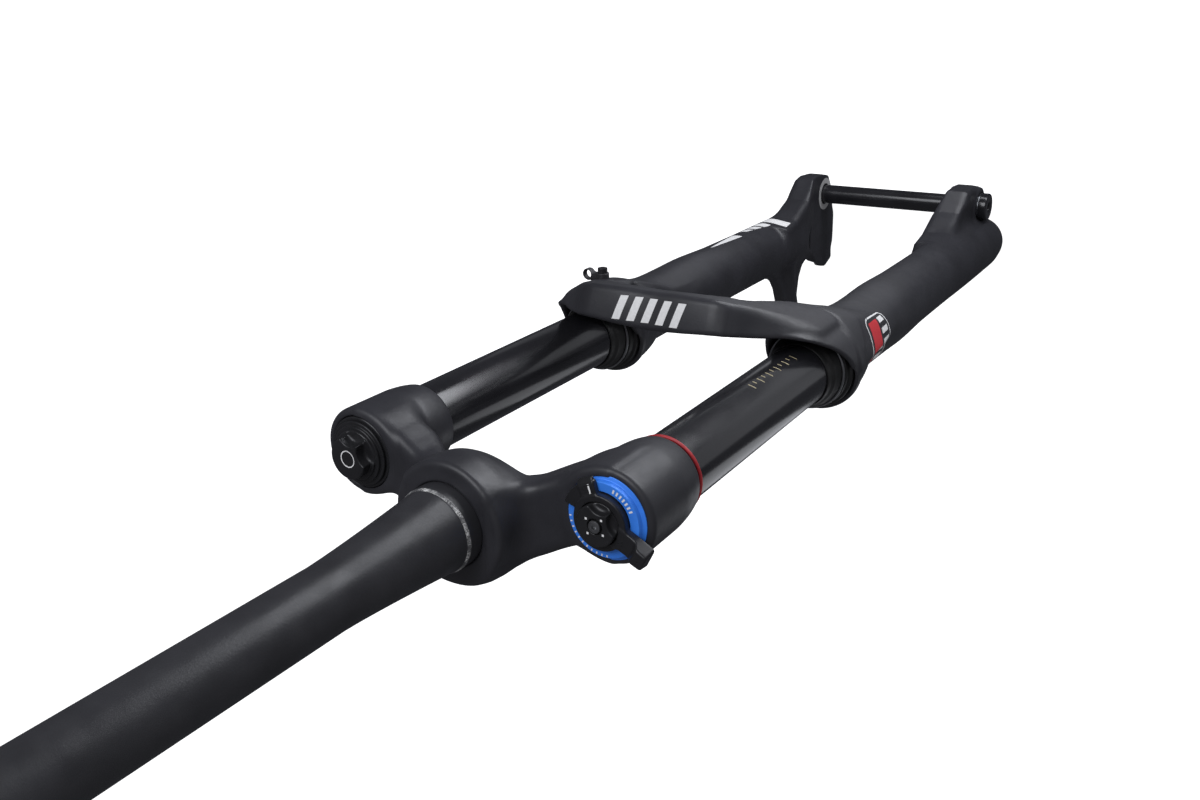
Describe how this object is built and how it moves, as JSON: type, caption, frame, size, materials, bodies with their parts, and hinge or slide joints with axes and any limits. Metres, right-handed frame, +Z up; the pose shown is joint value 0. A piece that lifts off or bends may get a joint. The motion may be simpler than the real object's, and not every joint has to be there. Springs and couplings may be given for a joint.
{
  "type": "bicycle suspension fork",
  "caption": "Single-crown bicycle suspension fork with sliding lowers, an air spring in one leg, a cartridge damper in the other, adjusters on the crown and foot, and a thru axle.",
  "frame": {"origin": "on the steering axis at the race seat, where the lower headset race rests on the crown", "axes": "+Z up the steerer, -Y forward to the axle side, +X to the rider's left, which is the air spring and brake side"},
  "size_m": [0.195, 0.1081, 0.856],
  "materials": {
    "satin_black": "satin powder coat",
    "steerer_black": "satin black anodised",
    "gloss_black": "gloss black hard anodised",
    "black_anodised": "satin black anodised",
    "grey_alloy": "machined",
    "steel": "ground",
    "blue_anodised": "satin blue anodised",
    "red_anodised": "satin red anodised",
    "brass": "machined",
    "seal_rubber": "moulded",
    "red_rubber": "moulded",
    "foam": "open cell",
    "dark_plastic": "moulded",
    "bushing": "coated"
  },
  "bodies": {
    "uppers": {"steerer": "steerer_black", "crown": "satin_black", "stanchion_left": "gloss_black", "stanchion_right": "gloss_black", "air_top_cap": "black_anodised", "air_valve_body": "brass", "volume_spacers": "dark_plastic", "air_seal_head": "grey_alloy", "air_retaining_ring": "steel", "top_out_bumper": "seal_rubber", "damper_top_cap": "grey_alloy", "scale_ring": "blue_anodised", "damper_tower": "grey_alloy", "bladder": "seal_rubber", "compression_valve": "brass", "cartridge_tube": "grey_alloy", "cartridge_seal_head": "grey_alloy"},
    "sag": {"sag_ring": "red_rubber"},
    "valve_pin": {"air_valve_pin": "steel"},
    "valve_cap": {"air_valve_cap": "black_anodised"},
    "mode": {"mode_lever": "black_anodised", "compression_rod": "grey_alloy"},
    "low_speed": {"low_speed_knob": "black_anodised", "low_speed_needle": "steel", "knob_bolt": "steel"},
    "lowers": {"lower_casting": "satin_black", "wiper_seals": "seal_rubber", "seal_springs": "steel", "foam_rings": "foam", "upper_bushings": "bushing", "lower_bushings": "bushing", "air_shaft": "steel", "air_piston": "grey_alloy", "air_piston_seal": "seal_rubber", "air_foot_bolt": "steel", "crush_washers": "brass", "bottom_out_bumper": "seal_rubber", "damper_shaft": "steel", "rebound_piston": "brass", "damper_foot_bolt": "steel", "hose_guide": "dark_plastic", "hose_guide_bolt": "steel"},
    "rebound": {"rebound_rod": "grey_alloy", "rebound_knob": "red_anodised"},
    "axle_ring": {"axle_washer": "grey_alloy"},
    "axle": {"thru_axle": "gloss_black"}
  },
  "joints": [
    {"name": "travel", "type": "slide", "parent": "uppers", "child": "lowers", "axis": [0, 0, 1], "range_m": [0, 0.14], "stiffness_N_per_m": 3500},
    {"name": "sag_ring_slide", "type": "slide", "parent": "uppers", "child": "sag", "axis": [0, 0, 1], "range_m": [-0.145, 0]},
    {"name": "valve_core_press", "type": "slide", "parent": "uppers", "child": "valve_pin", "axis": [0, 0, 1], "range_m": [-0.0015, 0], "stiffness_N_per_m": 1500},
    {"name": "valve_cap_lift", "type": "slide", "parent": "uppers", "child": "valve_cap", "axis": [0, 0, 1], "range_m": [0, 0.03]},
    {"name": "mode_lever_turn", "type": "hinge", "parent": "uppers", "child": "mode", "pos_m": [-0.0695, -0.011, -0.018], "axis": [0, 0, 1], "range_deg": [0, 90]},
    {"name": "low_speed_turn", "type": "hinge", "parent": "uppers", "child": "low_speed", "pos_m": [-0.0695, -0.011, -0.014], "axis": [0, 0, 1], "range_deg": [-135, 135]},
    {"name": "rebound_turn", "type": "hinge", "parent": "lowers", "child": "rebound", "pos_m": [-0.0695, -0.011, -0.585], "axis": [0, 0, 1], "range_deg": [-170, 170]},
    {"name": "axle_draw", "type": "slide", "parent": "lowers", "child": "axle_ring", "axis": [-1, 0, 0], "range_m": [0, 0.15]},
    {"name": "axle_turn", "type": "hinge", "parent": "axle_ring", "child": "axle", "pos_m": [0, -0.042, -0.562], "axis": [1, 0, 0], "continuous": true}
  ]
}
